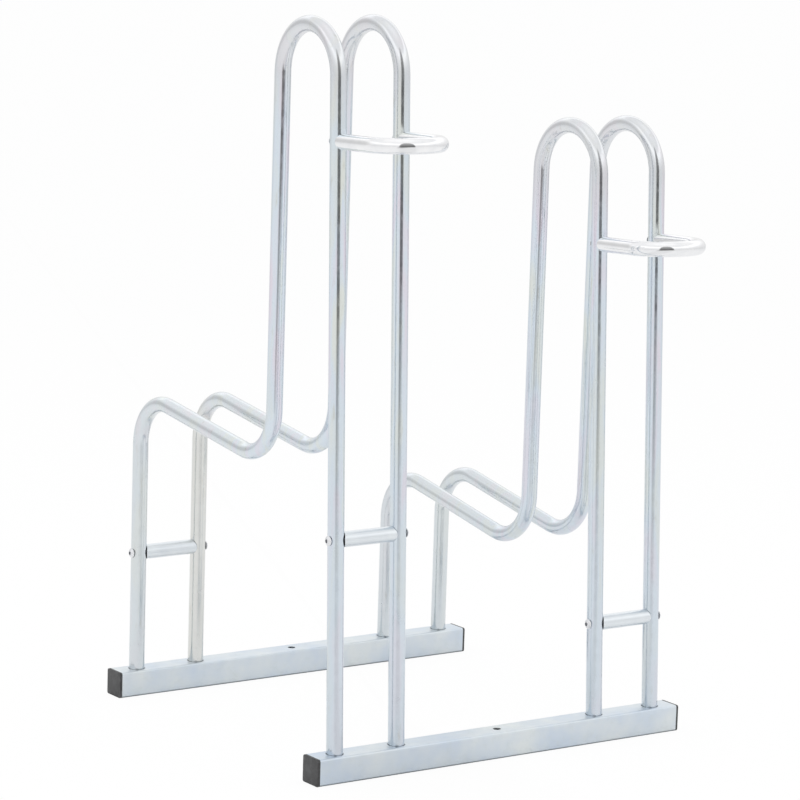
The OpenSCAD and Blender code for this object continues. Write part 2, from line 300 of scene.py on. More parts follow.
rail_finish = satin_zinc_plate()
for end, y in RAIL_Y.items():
    shell = bmesh.new()
    outer = at_rail(rounded_square(RAIL_W, RAIL_CORNER), y)
    inner = rounded_square(RAIL_W - 2 * RAIL_WALL, RAIL_CORNER - RAIL_WALL, margin=0.1)
    inner = at_rail(inner, y)
    half = RAIL_LEN / 2
    loft(shell, [(-half, outer), (half, outer), (half, inner), (-half, inner)], closed=True)
    rail = to_piece(f"rail_{end}", to_mesh(f"rail_{end}", shell))

    holes = bmesh.new()
    for foot, lift in foot_places(end):
        head_low = -RAIL_WALL - lift + HEAD_SINK
        head_high = head_low + HEAD_R - SCREW_R
        drill(holes, foot, TUBE_R + LEG_GAP, RAIL_W / 2, 1.5 * RAIL_W)
        section = [
            (-RAIL_W / 2, HEAD_R + HOLE_GAP), (head_low, HEAD_R + HOLE_GAP),
            (head_high, SCREW_R + HOLE_GAP), (RAIL_W / 4, SCREW_R + HOLE_GAP),
        ]
        rings = []
        for z, r in section:
            around = [math.tau * k / HOLE_STEPS for k in range(HOLE_STEPS)]
            ring = [foot @ Vector((r * math.cos(a), r * math.sin(a), z)) for a in around]
            rings.append([holes.verts.new(point) for point in ring])
        for a, b in zip(rings, rings[1:]):
            for i in range(HOLE_STEPS):
                j = (i + 1) % HOLE_STEPS
                holes.faces.new((a[i], a[j], b[j], b[i]))
        holes.faces.new(list(reversed(rings[0])))
        holes.faces.new(rings[-1])
    middle = Matrix.Translation((0, y, 0))
    drill(holes, middle, FIX_HOLE_R, -OVERRUN, RAIL_W + OVERRUN)
    cutter = to_piece("rail_holes", to_mesh("rail_holes", holes))
    cut = rail.modifiers.new("holes", "BOOLEAN")
    cut.object = cutter
    cut.operation = "DIFFERENCE"
    cut.solver = "EXACT"
    apply_modifiers(rail)
    bpy.data.objects.remove(cutter)
    smoothed(rail.data)
    rail.data.materials.clear()
    rail.data.materials.append(rail_finish)
    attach(rail, "root")
    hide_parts(f"{end}_rail")


# Rail end caps
# Black polyethylene caps with a rounded flange over the rail's end and a hollow ribbed plug that
# is knocked into it. Injection moulded, and a little scuffed where the rack is pushed about.

CAP_T = 3
CAP_ROUND = 0.6
CAP_STEPS = 4
PLUG_LEN = 14
PLUG_WALL = 2
PLUG_CORNER = 0.5
FIN_H = 1.2
FIN_T = 1
FINS = 4
FIT_GAP = 0.1


def moulded_black_plastic():
    # Moulded polyethylene: a warm black that looks dark grey in a bright room, with a fine spark
    # texture, a dull sheen and lighter scuffs.
    material, tree = new_material("moulded_black_polyethylene")
    where = add(tree, "ShaderNodeTexCoord").outputs["Object"]
    scuffs = add(tree, "ShaderNodeTexNoise", {
        "Vector": where, "Scale": cycles_per(9), "Detail": 6, "Roughness": 0.7,
    })
    tone = add(tree, "ShaderNodeValToRGB", {"Fac": scuffs.outputs["Fac"]})
    tone.color_ramp.elements[0].position = 0.45
    tone.color_ramp.elements[0].color = srgb("#343435")
    tone.color_ramp.elements[1].position = 0.75
    tone.color_ramp.elements[1].color = srgb("#555658")
    grain = add(tree, "ShaderNodeTexNoise", {
        "Vector": where, "Scale": cycles_per(0.7), "Detail": 2,
    })
    rough = add(tree, "ShaderNodeMapRange", {
        "Value": scuffs.outputs["Fac"], "To Min": 0.38, "To Max": 0.6,
    })
    bump = add(tree, "ShaderNodeBump", {
        "Height": grain.outputs["Fac"], "Strength": 0.25, "Distance": 0.05 * MM,
    })
    skin = add(tree, "ShaderNodeBsdfPrincipled", {
        "Base Color": tone.outputs["Color"], "Roughness": rough.outputs["Result"],
        "IOR": 1.51, "Normal": bump.outputs["Normal"],
    })
    add(tree, "ShaderNodeOutputMaterial", {"Surface": skin.outputs["BSDF"]})
    return material


cap_finish = moulded_black_plastic()
fin_w = RAIL_W - 2 * RAIL_WALL - 2 * FIT_GAP
plug_w = fin_w - 2 * FIN_H
hollow_w = plug_w - 2 * PLUG_WALL
fin_pitch = (PLUG_LEN - FIN_T) / FINS
cap_sections = []
for k in range(CAP_STEPS + 1):
    a = math.pi / 2 * k / CAP_STEPS
    inset = CAP_ROUND * (1 - math.sin(a))
    depth = CAP_T - CAP_ROUND * (1 - math.cos(a))
    cap_sections.append((depth, RAIL_W - 2 * inset, RAIL_CORNER - inset))
cap_sections += [(0, RAIL_W, RAIL_CORNER), (0, plug_w, PLUG_CORNER)]
for i in range(1, FINS + 1):
    back = -i * fin_pitch
    front = back + FIN_T
    fin = ((front, plug_w), (front, fin_w), (back, fin_w), (back, plug_w))
    cap_sections += [(x, width, PLUG_CORNER) for x, width in fin]
hollow = ((-PLUG_LEN, plug_w), (-PLUG_LEN, hollow_w), (0, hollow_w))
cap_sections += [(x, width, PLUG_CORNER) for x, width in hollow]

for end, y in RAIL_Y.items():
    for side, sign in (("left", -1), ("right", 1)):
        body = bmesh.new()
        sections = []
        for x, width, corner in cap_sections:
            outline = at_rail(rounded_square(width, corner, margin=0.2), y)
            sections.append((sign * (x + RAIL_LEN / 2), outline))
        loft(body, sections, closed=False)
        cap = to_piece(f"cap_{end}_{side}", to_mesh(f"cap_{end}_{side}", body))
        cap.data.materials.append(cap_finish)
        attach(cap, "root")
        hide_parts(f"{end}_{side}_end_cap")


# Loops
# Four lengths of 18 mm round steel tube, each bent three times in one plane: up from the rear
# rail, down the sloping run, up to the top arch and down to the front rail. Bright zinc plated
# after bending, cross-drilled for the side screws.

TUBE_WALL = 1.5
BEND_THIN = 0.1
RAIL_SPAN = RAIL_Y["rear"] - RAIL_Y["front"]
RUN_Y = 136
KNEE_Z = {"tall": 358, "low": 243}
VEE_Z = {"tall": 320, "low": 191.5}
FRONT_BAR_Z = {"tall": 262, "low": 134}
REAR_BAR_Z = {"tall": 168}
GUARD_Z = {"tall": 685, "low": 561}
BETWEEN_PLACES = (-10, 10)
# Where the loops' plate gets painted shade: near the floor, on the rear half and over the crowns
COOL_SHADE_Z = (550, 50)
REAR_SHADE_Y = (-60, 60)
CROWN_SHADE_DROP = (120, 50)
STRAW_LEG = (LEG_X["tall_right"], RAIL_Y["rear"], 0)
STRAW_R = (30, 14)
DULL_TOP = {"tall": 420, "low": 540}
DULL_FADE = 100


def hollow_bar_tree():
    """Sweeps a hollow round bar along a line of points and takes the cutters out of it"""
    tree = bpy.data.node_groups.new("hollow_round_bar", "GeometryNodeTree")
    face = tree.interface
    face.new_socket("Geometry", in_out="INPUT", socket_type="NodeSocketGeometry")
    for label in ("Outside radius", "Wall", "Overrun"):
        face.new_socket(label, in_out="INPUT", socket_type="NodeSocketFloat")
    face.new_socket("Steps round", in_out="INPUT", socket_type="NodeSocketInt")
    face.new_socket("Cutters", in_out="INPUT", socket_type="NodeSocketObject")
    face.new_socket("Finish", in_out="INPUT", socket_type="NodeSocketMaterial")
    face.new_socket("Geometry", in_out="OUTPUT", socket_type="NodeSocketGeometry")
    given = add(tree, "NodeGroupInput").outputs
    line = add(tree, "GeometryNodeMeshToCurve", {"Mesh": given["Geometry"]})
    thin = add(tree, "GeometryNodeInputNamedAttribute", {"Name": "thin"}, data_type="FLOAT")
    bar = add(tree, "ShaderNodeMath", {
        0: given["Outside radius"], 1: thin.outputs["Attribute"],
    }, operation="SUBTRACT")
    bore = add(tree, "ShaderNodeMath", {0: bar.outputs[0], 1: given["Wall"]}, operation="SUBTRACT")
    ring = add(tree, "GeometryNodeCurvePrimitiveCircle", {
        "Resolution": given["Steps round"], "Radius": 1.0,
    })
    run = add(tree, "GeometryNodeInputTangent")
    longer = line.outputs["Curve"]
    for start, end, sign in ((1, 0, -1), (0, 1, 1)):
        ends = add(tree, "GeometryNodeCurveEndpointSelection", {
            "Start Size": start, "End Size": end,
        })
        reach = add(tree, "ShaderNodeMath", {0: given["Overrun"], 1: sign}, operation="MULTIPLY")
        shift = add(tree, "ShaderNodeVectorMath", {
            0: run.outputs["Tangent"], "Scale": reach.outputs[0],
        }, operation="SCALE")
        moved = add(tree, "GeometryNodeSetPosition", {
            "Geometry": longer, "Selection": ends.outputs["Selection"], "Offset": shift.outputs[0],
        })
        longer = moved.outputs["Geometry"]
    solids = []
    for path, radius in ((line.outputs["Curve"], bar), (longer, bore)):
        sized = add(tree, "GeometryNodeSetCurveRadius", {
            "Curve": path, "Radius": radius.outputs[0],
        })
        swept = add(tree, "GeometryNodeCurveToMesh", {
            "Curve": sized.outputs["Curve"], "Profile Curve": ring.outputs["Curve"],
            "Fill Caps": True,
        })
        # A sweep with this input takes the radius through it alone
        if "Scale" in swept.inputs:
            width = add(tree, "GeometryNodeInputRadius")
            tree.links.new(width.outputs["Radius"], swept.inputs["Scale"])
        solids.append(swept.outputs["Mesh"])
    tools = add(tree, "GeometryNodeObjectInfo", {"Object": given["Cutters"]})
    cut = add(tree, "GeometryNodeMeshBoolean", {
        "Mesh 1": solids[0], "Mesh 2": [solids[1], tools.outputs["Geometry"]],
    }, operation="DIFFERENCE", solver="EXACT")
    whole = add(tree, "GeometryNodeRealizeInstances", {"Geometry": cut.outputs["Mesh"]})
    dressed = add(tree, "GeometryNodeSetMaterial", {
        "Geometry": whole.outputs["Geometry"], "Material": given["Finish"],
    })
    add(tree, "NodeGroupOutput", {"Geometry": dressed.outputs["Geometry"]})
    return tree


def grown(name, seed, tree, values):
    """Runs a tree on a seed mesh and gives the result as a plain mesh"""
    holder = bpy.data.objects.new(name, seed)
    bpy.context.collection.objects.link(holder)
    work = holder.modifiers.new(name, "NODES")
    work.node_group = tree
    for item in tree.interface.items_tree:
        if item.in_out == "INPUT" and item.name in values:
            work[item.identifier] = values[item.name]
    view = bpy.context.evaluated_depsgraph_get()
    mesh = bpy.data.meshes.new_from_object(holder.evaluated_get(view), depsgraph=view)
    bpy.data.objects.remove(holder)
    mesh.name = name
    return mesh


def bent_bar(name, points, thinning, radius, wall, cutters, finish, steps=48):
    """A hollow bar along points in millimetres, cut by a mesh of cutters"""
    seed = bpy.data.meshes.new(f"{name}_line")
    seed.from_pydata(
        [Vector(p) * MM for p in points], [(i, i + 1) for i in range(len(points) - 1)], []
    )
    thin = seed.attributes.new("thin", "FLOAT", "POINT")
    thin.data.foreach_set("value", [t * MM for t in thinning])
    tool = to_piece(f"{name}_cutters", to_mesh(f"{name}_cutters", cutters))
    mesh = grown(name, seed, bar_tree, {
        "Outside radius": radius * MM, "Wall": wall * MM, "Overrun": OVERRUN * MM,
        "Steps round": steps, "Cutters": tool, "Finish": finish,
    })
    bpy.data.objects.remove(tool)
    return to_piece(name, mesh)


def straight(a, b, step=14):
    """Points of a straight run, both ends included"""
    count = max(1, round(math.dist(a, b) / step))
    return [tuple(p + (q - p) * i / count for p, q in zip(a, b)) for i in range(count + 1)]


def bend(centre, start, stop, step=3):
    """Points of a bend between two angles in degrees, its ends left to the straight runs"""
    count = round(abs(stop - start) / step)
    angles = [math.radians(start + (stop - start) * i / count) for i in range(1, count)]
    return [(centre[0] + BEND_R * math.cos(a), centre[1] + BEND_R * math.sin(a)) for a in angles]


def on_bend(centre, angle):
    """Point of a bend at an angle in degrees"""
    a = math.radians(angle)
    return (centre[0] + BEND_R * math.cos(a), centre[1] + BEND_R * math.sin(a))


def loop_line(place):
    """A loop's middle line from the rear foot to the front foot, with its thinning at each point"""
    fall = math.degrees(math.atan2(KNEE_Z[place] - VEE_Z[place], RAIL_SPAN - RUN_Y))
    reach = BEND_R * math.tan(math.radians((90 + fall) / 2))
    knee = (RAIL_SPAN - BEND_R, KNEE_Z[place] - reach)
    vee = (RUN_Y + BEND_R, VEE_Z[place] + reach)
    arch = (ARCH_Y, TOP_Z[place] - TUBE_R - BEND_R)
    tilt = math.degrees(lean(place))
    foot = (leg_y(place, foot_z(place)), foot_z(place))
    runs = [
        straight((RAIL_SPAN, RAIL_WALL), on_bend(knee, 0)), bend(knee, 0, 90 + fall),
        straight(on_bend(knee, 90 + fall), on_bend(vee, 270 + fall)),
        bend(vee, 270 + fall, 180), straight(on_bend(vee, 180), on_bend(arch, 0)),
        bend(arch, 0, 180 - tilt),
        straight(on_bend(arch, 180 - tilt), foot),
    ]
    line = [point for run in runs for point in run]
    thinning = [BEND_THIN / 2 if i % 2 else 0 for i, run in enumerate(runs) for point in run]
    return line, thinning


def bright_zinc_plate():
    # Bright zinc plate with a clear blue chromate on drawn tube: a cool silver that mirrors the
    # room softly, with a faint rainbow of lilac, blue and grey-green in streaks along the tube,
    # and small brownish rubs. Towards the floor it is painted a cooler, darker grey as painted
    # shade, and it is a little duller there; behind and over the arches it is painted a plain grey
    # as painted shade that dims their reflections, and one rear leg has a straw cast.
    material, tree = new_material("bright_zinc_plate_blue_chromate")
    where = add(tree, "ShaderNodeTexCoord").outputs["Object"]
    spot = add(tree, "ShaderNodeSeparateXYZ", {"Vector": where})
    drawn_out = add(tree, "ShaderNodeMapping", {"Vector": where, "Scale": (1, 1, 0.12)})
    cast = add(tree, "ShaderNodeTexNoise", {
        "Vector": drawn_out.outputs["Vector"], "Scale": cycles_per(15), "Detail": 2,
        "Distortion": 0.6,
    })
    tint = add(tree, "ShaderNodeValToRGB", {"Fac": cast.outputs["Fac"]})
    stops = tint.color_ramp.elements
    stops[0].position = 0.34
    stops[0].color = srgb("#e2dce6")
    stops[1].position = 0.66
    stops[1].color = srgb("#e0e4df")
    stops.new(0.5).color = srgb("#d9e3ec")
    # Painted shade: cooler and darker towards the floor
    low = add(tree, "ShaderNodeMapRange", {
        "Value": spot.outputs["Z"], "From Min": COOL_SHADE_Z[0] * MM, "From Max": COOL_SHADE_Z[1] * MM,
        "To Max": 0.75,
    })
    # Painted shade: a plainer, darker grey on the loops' rear half
    behind = add(tree, "ShaderNodeMapRange", {
        "Value": spot.outputs["Y"], "From Min": REAR_SHADE_Y[0] * MM, "From Max": REAR_SHADE_Y[1] * MM,
        "To Max": 0.45,
    })
    below = {}
    for which, heights in (("top", TOP_Z), ("dull", DULL_TOP)):
        level = add(tree, "ShaderNodeMapRange", {
            "Value": spot.outputs["X"],
            "From Min": BETWEEN_PLACES[0] * MM, "From Max": BETWEEN_PLACES[1] * MM,
            "To Min": heights["tall"] * MM, "To Max": heights["low"] * MM,
        })
        below[which] = add(tree, "ShaderNodeMath", {
            0: level.outputs["Result"], 1: spot.outputs["Z"],
        }, operation="SUBTRACT").outputs[0]
    # Painted shade: a plainer grey over the arches' crowns, which dims their reflections
    crown = add(tree, "ShaderNodeMapRange", {
        "Value": below["top"], "From Min": CROWN_SHADE_DROP[0] * MM, "From Max": CROWN_SHADE_DROP[1] * MM,
        "To Max": 0.8,
    })
    plan = add(tree, "ShaderNodeMapping", {"Vector": where, "Scale": (1, 1, 0)})
    off_leg = add(tree, "ShaderNodeVectorMath", {
        0: plan.outputs["Vector"], 1: [MM * at for at in STRAW_LEG],
    }, operation="DISTANCE")
    straw = add(tree, "ShaderNodeMapRange", {
        "Value": off_leg.outputs["Value"], "From Min": STRAW_R[0] * MM,
        "From Max": STRAW_R[1] * MM, "To Max": 0.7,
    })
    upright = add(tree, "ShaderNodeMapping", {"Vector": where, "Scale": (1, 1, 0.2)})
    rubs = add(tree, "ShaderNodeTexNoise", {
        "Vector": upright.outputs["Vector"], "Scale": cycles_per(7), "Detail": 4,
        "Roughness": 0.6,
    })
    rub = add(tree, "ShaderNodeMapRange", {
        "Value": rubs.outputs["Fac"], "From Min": 0.62, "From Max": 0.78, "To Max": 0.55,
    })
    tone = tint.outputs["Color"]
    # The first three mixes put painted shade into the plate's colour; the straw cast and the rubs
    # are the plate's own
    for mask, code in (
        (low, "#c8d1d9"), (behind, "#d8dbda"), (crown, "#dadbdd"), (straw, "#dcdbd6"),
        (rub, "#b9b6a8"),
    ):
        tone = result(add(tree, "ShaderNodeMix", {
            "Factor": mask.outputs["Result"], "A": tone, "B": srgb(code),
        }, data_type="RGBA"))
    haze = add(tree, "ShaderNodeTexNoise", {
        "Vector": where, "Scale": cycles_per(12), "Detail": 5, "Roughness": 0.65,
    })
    rough = add(tree, "ShaderNodeMapRange", {
        "Value": haze.outputs["Fac"], "From Min": 0.3, "From Max": 0.75,
        "To Min": 0.08, "To Max": 0.26,
    })
    dull = add(tree, "ShaderNodeMapRange", {
        "Value": below["dull"], "From Max": DULL_FADE * MM, "To Max": 0.05,
    })
    rough = add(tree, "ShaderNodeMath", {0: rough.outputs["Result"], 1: dull.outputs["Result"]})
    grain = add(tree, "ShaderNodeTexNoise", {
        "Vector": where, "Scale": cycles_per(2.5), "Detail": 3,
    })
    bump = add(tree, "ShaderNodeBump", {
        "Height": grain.outputs["Fac"], "Strength": 0.06, "Distance": 0.03 * MM,
    })
    skin = add(tree, "ShaderNodeBsdfPrincipled", {
        "Base Color": tone, "Metallic": 1.0, "Roughness": rough.outputs[0],
        "Normal": bump.outputs["Normal"],
    })
    add(tree, "ShaderNodeOutputMaterial", {"Surface": skin.outputs["BSDF"]})
    return material


bar_tree = hollow_bar_tree()
loop_finish = bright_zinc_plate()
ACROSS = Matrix.Rotation(math.pi / 2, 4, "Y")
AHEAD = Matrix.Rotation(math.pi / 2, 4, "X")
for leg, x in LEG_X.items():
    place = leg.split("_")[0]
    line, thinning = loop_line(place)
    through = TUBE_R + OVERRUN
    hole = SCREW_R + HOLE_GAP
    tools = bmesh.new()
    drill(tools, on_front_leg(place, x, FRONT_BAR_Z[place]) @ ACROSS, hole, -through, through)
    drill(tools, on_front_leg(place, x, GUARD_Z[place]) @ AHEAD, hole, -through, through)
    if place in REAR_BAR_Z:
        drill(tools, on_rear_leg(x, REAR_BAR_Z[place]) @ ACROSS, hole, -through, through)
    loop = bent_bar(
        f"loop_{leg}", [(x, RAIL_Y["front"] + y, z) for y, z in line], thinning,
        TUBE_R, TUBE_WALL, tools, loop_finish,
    )
    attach(loop, "root")
    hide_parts(f"{leg}_loop")


# Crossbars
# Short 17 mm steel tubes that hold a pair of loops apart, saddle-cut at both ends to sit on the
# legs, and zinc plated with them.

BAR_R = 8.5
BAR_WALL = 1.5
SADDLE_R = 14
SEAT = 9.1
HALF_PITCH = 40
BAR_STEPS = 64
BAR_STEP_LEN = 6
SADDLE_STEPS = 128


def satin_bar_plate():
    # Crossbars are cut from tube with a finer, duller plate: pale grey, softly shaded, no image.
    material, tree = new_material("satin_bar_plate")
    where = add(tree, "ShaderNodeTexCoord").outputs["Object"]
    clouds = add(tree, "ShaderNodeTexNoise", {
        "Vector": where, "Scale": cycles_per(25), "Detail": 4, "Roughness": 0.6,
    })
    tone = add(tree, "ShaderNodeValToRGB", {"Fac": clouds.outputs["Fac"]})
    tone.color_ramp.elements[0].position = 0.3
    tone.color_ramp.elements[0].color = srgb("#d9dee3")
    tone.color_ramp.elements[1].position = 0.7
    tone.color_ramp.elements[1].color = srgb("#e2e7ea")
    rough = add(tree, "ShaderNodeMapRange", {
        "Value": clouds.outputs["Fac"], "To Min": 0.28, "To Max": 0.36,
    })
    skin = add(tree, "ShaderNodeBsdfPrincipled", {
        "Base Color": tone.outputs["Color"], "Metallic": 1.0, "Roughness": rough.outputs["Result"],
    })
    add(tree, "ShaderNodeOutputMaterial", {"Surface": skin.outputs["BSDF"]})
    return material


def saddles(tools, place_of, ends):
    """Cutters that shape a bar's ends to sit on the legs, at (x, turn) of each end"""
    for x, turn in ends:
        at = place_of @ Matrix.Translation((x, 0, 0)) @ Matrix.Rotation(turn, 4, "Z")
        seat = at @ Matrix.Translation((SEAT - SADDLE_R, 0, 0))
        drill(tools, seat, SADDLE_R, -BAR_R - OVERRUN, BAR_R + OVERRUN, SADDLE_STEPS)


bar_finish = satin_bar_plate()
saddle_depth = SADDLE_R - math.sqrt(SADDLE_R**2 - BAR_R**2)
bar_spots = {
    "tall_front": on_front_leg("tall", PLACE_X["tall"], FRONT_BAR_Z["tall"]),
    "tall_rear": on_rear_leg(PLACE_X["tall"], REAR_BAR_Z["tall"]),
    "low_front": on_front_leg("low", PLACE_X["low"], FRONT_BAR_Z["low"]),
}
for which, spot in bar_spots.items():
    tools = bmesh.new()
    saddles(tools, spot, ((-HALF_PITCH, 0), (HALF_PITCH, math.pi)))
    reach = HALF_PITCH - SEAT + saddle_depth + OVERRUN
    line = [spot @ Vector(p) for p in straight((-reach, 0, 0), (reach, 0, 0), BAR_STEP_LEN)]
    bar = bent_bar(
        f"crossbar_{which}", line, [0] * len(line), BAR_R, BAR_WALL, tools, bar_finish, BAR_STEPS
    )
    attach(bar, "root")
    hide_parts(f"{which}_crossbar")


# Guard hoops
# A U of the same 17 mm tube in front of each pair of front legs, with saddle-cut ends, polished
# and plated to a mirror.

GUARD_ARM = 60
GUARD_STEPS = 60


def polished_plate():
    # Steel tube buffed by hand before plating: nearly a mirror, cool silver, with a light haze and
    # gentle ripples that make its reflections wander.
    material, tree = new_material("buffed_bright_plate")
    where = add(tree, "ShaderNodeTexCoord").outputs["Object"]
    haze = add(tree, "ShaderNodeTexNoise", {
        "Vector": where, "Scale": cycles_per(15), "Detail": 5, "Roughness": 0.6,
    })
    tone = add(tree, "ShaderNodeValToRGB", {"Fac": haze.outputs["Fac"]})
    tone.color_ramp.elements[0].position = 0.35
    tone.color_ramp.elements[0].color = srgb("#e9eaec")
    tone.color_ramp.elements[1].position = 0.65
    tone.color_ramp.elements[1].color = srgb("#f1f1f2")
    rough = add(tree, "ShaderNodeMapRange", {
        "Value": haze.outputs["Fac"], "To Min": 0.06, "To Max": 0.13,
    })
    ripples = add(tree, "ShaderNodeTexNoise", {
        "Vector": where, "Scale": cycles_per(22), "Detail": 1,
    })
    bump = add(tree, "ShaderNodeBump", {
        "Height": ripples.outputs["Fac"], "Strength": 0.3, "Distance": 0.3 * MM,
    })
    skin = add(tree, "ShaderNodeBsdfPrincipled", {
        "Base Color": tone.outputs["Color"], "Metallic": 1.0,
        "Roughness": rough.outputs["Result"], "Normal": bump.outputs["Normal"],
    })
    add(tree, "ShaderNodeOutputMaterial", {"Surface": skin.outputs["BSDF"]})
    return material


hoop_finish = polished_plate()
for place, x in PLACE_X.items():
    spot = on_front_leg(place, x, GUARD_Z[place])
    start = SEAT - saddle_depth - OVERRUN
    flat = straight((-HALF_PITCH, -start), (-HALF_PITCH, -GUARD_ARM), BAR_STEP_LEN)[:-1]
    turn = [math.pi * k / GUARD_STEPS for k in range(GUARD_STEPS + 1)]
    flat += [(-HALF_PITCH * math.cos(a), -GUARD_ARM - HALF_PITCH * math.sin(a)) for a in turn]
    flat += straight((HALF_PITCH, -GUARD_ARM), (HALF_PITCH, -start), BAR_STEP_LEN)[1:]
    line = [spot @ Vector((px, py, 0)) for px, py in flat]
    tools = bmesh.new()
    saddles(tools, spot, ((-HALF_PITCH, -math.pi / 2), (HALF_PITCH, -math.pi / 2)))
    hoop = bent_bar(
        f"hoop_{place}", line, [0] * len(line), BAR_R, BAR_WALL, tools, hoop_finish, BAR_STEPS
    )
    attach(hoop, "root")
    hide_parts(f"{place}_guard_hoop")


# Side screws
# Button head screws with a hexagon socket, through each leg into the threaded insert in a
# crossbar's or a guard hoop's end. Zinc plated steel.

BUTTON_R = 5.5
BUTTON_H = 3.3
BUTTON_RIM = 0.8
BUTTON_EDGE = 0.1
DOME_STEPS = 8
TIP_LEN = 1
TIP_BEVEL = 0.8
SIDE_SCREW_LEN = 35
SOCKET_AF = 4
SOCKET_DEPTH = 2
SCREW_SPIN = 17


def screw_tree():
    """Cuts a hexagon socket into a turned blank and puts one at every point, turned to its aim"""
    tree = bpy.data.node_groups.new("socket_screws", "GeometryNodeTree")
    face = tree.interface
    face.new_socket("Geometry", in_out="INPUT", socket_type="NodeSocketGeometry")
    for label in ("Socket radius", "Socket depth", "Head height"):
        face.new_socket(label, in_out="INPUT", socket_type="NodeSocketFloat")
    face.new_socket("Blank", in_out="INPUT", socket_type="NodeSocketObject")
    face.new_socket("Finish", in_out="INPUT", socket_type="NodeSocketMaterial")
    face.new_socket("Socket finish", in_out="INPUT", socket_type="NodeSocketMaterial")
    face.new_socket("Geometry", in_out="OUTPUT", socket_type="NodeSocketGeometry")
    given = add(tree, "NodeGroupInput").outputs
    blank = add(tree, "GeometryNodeObjectInfo", {"Object": given["Blank"]})
    prism = add(tree, "GeometryNodeMeshCylinder", {
        "Vertices": 6, "Radius": given["Socket radius"], "Depth": given["Socket depth"],
    })
    drop = add(tree, "ShaderNodeMath", {0: given["Head height"], 1: -1}, operation="MULTIPLY")
    at = add(tree, "ShaderNodeCombineXYZ", {"Z": drop.outputs[0]})
    placed = add(tree, "GeometryNodeTransform", {
        "Geometry": prism.outputs["Mesh"], "Translation": at.outputs[0],
    })
    lined = add(tree, "GeometryNodeSetMaterial", {
        "Geometry": placed.outputs["Geometry"], "Material": given["Socket finish"],
    })
    cut = add(tree, "GeometryNodeMeshBoolean", {
        "Mesh 1": blank.outputs["Geometry"], "Mesh 2": [lined.outputs["Geometry"]],
    }, operation="DIFFERENCE", solver="EXACT")
    turn = add(tree, "GeometryNodeInputNamedAttribute", {
        "Name": "turn",
    }, data_type="QUATERNION")
    spread = add(tree, "GeometryNodeInstanceOnPoints", {
        "Points": given["Geometry"], "Instance": cut.outputs["Mesh"],
        "Rotation": result(turn),
    })
    whole = add(tree, "GeometryNodeRealizeInstances", {"Geometry": spread.outputs["Instances"]})
    socket = add(tree, "GeometryNodeMaterialSelection", {"Material": given["Socket finish"]})
    rest = add(tree, "FunctionNodeBooleanMath", {
        0: socket.outputs["Selection"],
    }, operation="NOT")
    dressed = add(tree, "GeometryNodeSetMaterial", {
        "Geometry": whole.outputs["Geometry"], "Selection": rest.outputs["Boolean"],
        "Material": given["Finish"],
    })
    add(tree, "NodeGroupOutput", {"Geometry": dressed.outputs["Geometry"]})
    return tree


def turned(name, profile, steps=48):
    """A closed turned solid about Z from (radius, z) points, both ends on the axis"""
    work = bmesh.new()
    rings = []
    for r, z in profile[1:-1]:
        around = [math.tau * k / steps for k in range(steps)]
        rings.append([work.verts.new((r * math.cos(a), r * math.sin(a), z)) for a in around])
    for a, b in zip(rings, rings[1:]):
        for i in range(steps):
            work.faces.new((a[i], a[(i + 1) % steps], b[(i + 1) % steps], b[i]))
    for ring, (r, z) in ((rings[0], profile[0]), (rings[-1], profile[-1])):
        pole = work.verts.new((0, 0, z))
        for i in range(steps):
            work.faces.new((ring[i], ring[(i + 1) % steps], pole))
    return to_piece(name, to_mesh(name, work))


def screws(name, spots, blank, head_h, cad_node):
    """One node's screws, at matrices whose +X runs along the shank, each at a turn of its own"""
    seed = bpy.data.meshes.new(f"{name}_spots")
    seed.from_pydata([spot.to_translation() * MM for spot in spots], [], [])
    turn = seed.attributes.new("turn", "QUATERNION", "POINT")
    for i, (item, spot) in enumerate(zip(turn.data, spots)):
        tightened = Matrix.Rotation(SCREW_SPIN * i + len(name), 4, "Z")
        item.value = (spot @ Matrix.Rotation(math.pi / 2, 4, "Y") @ tightened).to_quaternion()
    mesh = grown(name, seed, socket_tree, {
        "Socket radius": SOCKET_AF / math.sqrt(3) * MM, "Socket depth": 2 * SOCKET_DEPTH * MM,
        "Head height": head_h * MM, "Blank": blank, "Finish": screw_finish,
        "Socket finish": socket_shade_finish,
    })
    made = to_piece(name, mesh)
    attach(made, "root")
    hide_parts(cad_node)


def screw_zinc_plate(name, low, high):
    # Zinc plate on a cold-headed screw: bright, a little grainy from the barrel it was plated in.
    # The plating hardly reaches the bottom of the socket, which is darker, and its darker greys are
    # also painted shade for the recess.
    material, tree = new_material(name)
    where = add(tree, "ShaderNodeTexCoord").outputs["Object"]
    grain = add(tree, "ShaderNodeTexNoise", {
        "Vector": where, "Scale": cycles_per(1.2), "Detail": 3,
    })
    tone = add(tree, "ShaderNodeValToRGB", {"Fac": grain.outputs["Fac"]})
    tone.color_ramp.elements[0].position = 0.3
    tone.color_ramp.elements[0].color = srgb(low)
    tone.color_ramp.elements[1].position = 0.7
    tone.color_ramp.elements[1].color = srgb(high)
    bump = add(tree, "ShaderNodeBump", {
        "Height": grain.outputs["Fac"], "Strength": 0.15, "Distance": 0.04 * MM,
    })
    skin = add(tree, "ShaderNodeBsdfPrincipled", {
        "Base Color": tone.outputs["Color"], "Metallic": 1.0, "Roughness": 0.46,
        "Normal": bump.outputs["Normal"],
    })
    add(tree, "ShaderNodeOutputMaterial", {"Surface": skin.outputs["BSDF"]})
    return material


socket_tree = screw_tree()
screw_finish = screw_zinc_plate("barrel_zinc_plate", "#dadcdf", "#ececee")
